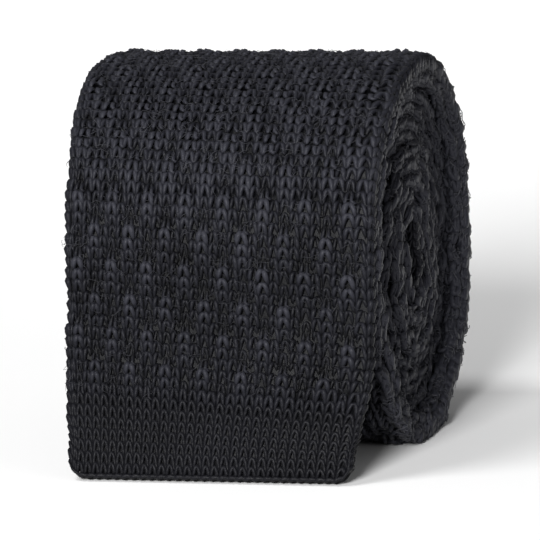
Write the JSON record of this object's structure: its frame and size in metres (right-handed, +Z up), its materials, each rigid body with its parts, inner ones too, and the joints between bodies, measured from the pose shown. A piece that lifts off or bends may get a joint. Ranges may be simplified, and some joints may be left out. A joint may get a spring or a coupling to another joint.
{
  "type": "knitted necktie",
  "caption": "Dark charcoal knitted necktie with a square end and a plain end band, rolled up on its narrow tail; the free front of the blade lifts and peels off the roll.",
  "frame": {"origin": "centre of the flat foot that the roll rests on, half way along its width", "axes": "+Z up, X along the roll's axis and across the blade, and -Y towards the free front of the blade"},
  "size_m": [0.06, 0.0825, 0.074],
  "materials": {
    "tuck_knit": "tuck-stitch knit in twisted yarn, semi-matte, deep charcoal with a slight blue cast",
    "plain_knit": "plain knit in the same yarn, flatter and a little darker",
    "linking_thread": "linking thread that closes the ends of the tube",
    "sewing_thread": "sewing thread, tacks and bars",
    "label_satin": "black woven satin ribbon, blank",
    "care_label_satin": "pale satin ribbon, blank"
  },
  "bodies": {
    "roll": {"blade_outer_wrap": "tuck_knit", "blade_rolled": "tuck_knit", "neck_rolled": "tuck_knit", "tail_rolled": "tuck_knit", "tail_end_band": "plain_knit", "tail_end_hem": "linking_thread", "maker_label": "label_satin", "care_label": "care_label_satin", "keeper_loop": "label_satin", "label_stitch_left": "sewing_thread", "label_stitch_right": "sewing_thread", "keeper_tack_left": "sewing_thread", "keeper_tack_right": "sewing_thread"},
    "top_wrap": {"blade_top_wrap": "tuck_knit"},
    "front_wrap": {"blade_front_wrap": "tuck_knit"},
    "free_end": {"blade_front_fall": "tuck_knit", "blade_end_band": "plain_knit", "blade_end_hem": "linking_thread"}
  },
  "joints": [
    {"name": "peel_top", "type": "hinge", "parent": "roll", "child": "top_wrap", "pos_m": [0, 0.00369, 0.07373], "axis": [-1, 0, 0], "range_deg": [0, 45]},
    {"name": "peel_front", "type": "hinge", "parent": "top_wrap", "child": "front_wrap", "pos_m": [0, -0.02402, 0.06538], "axis": [-1, 0, 0], "range_deg": [0, 45]},
    {"name": "lift_free_end", "type": "hinge", "parent": "front_wrap", "child": "free_end", "pos_m": [0, -0.03789, 0.03901], "axis": [-1, 0, 0], "range_deg": [0, 45]}
  ],
  "couplings": [
    {"joint": "peel_front", "follows": "peel_top", "ratio": 1}
  ]
}
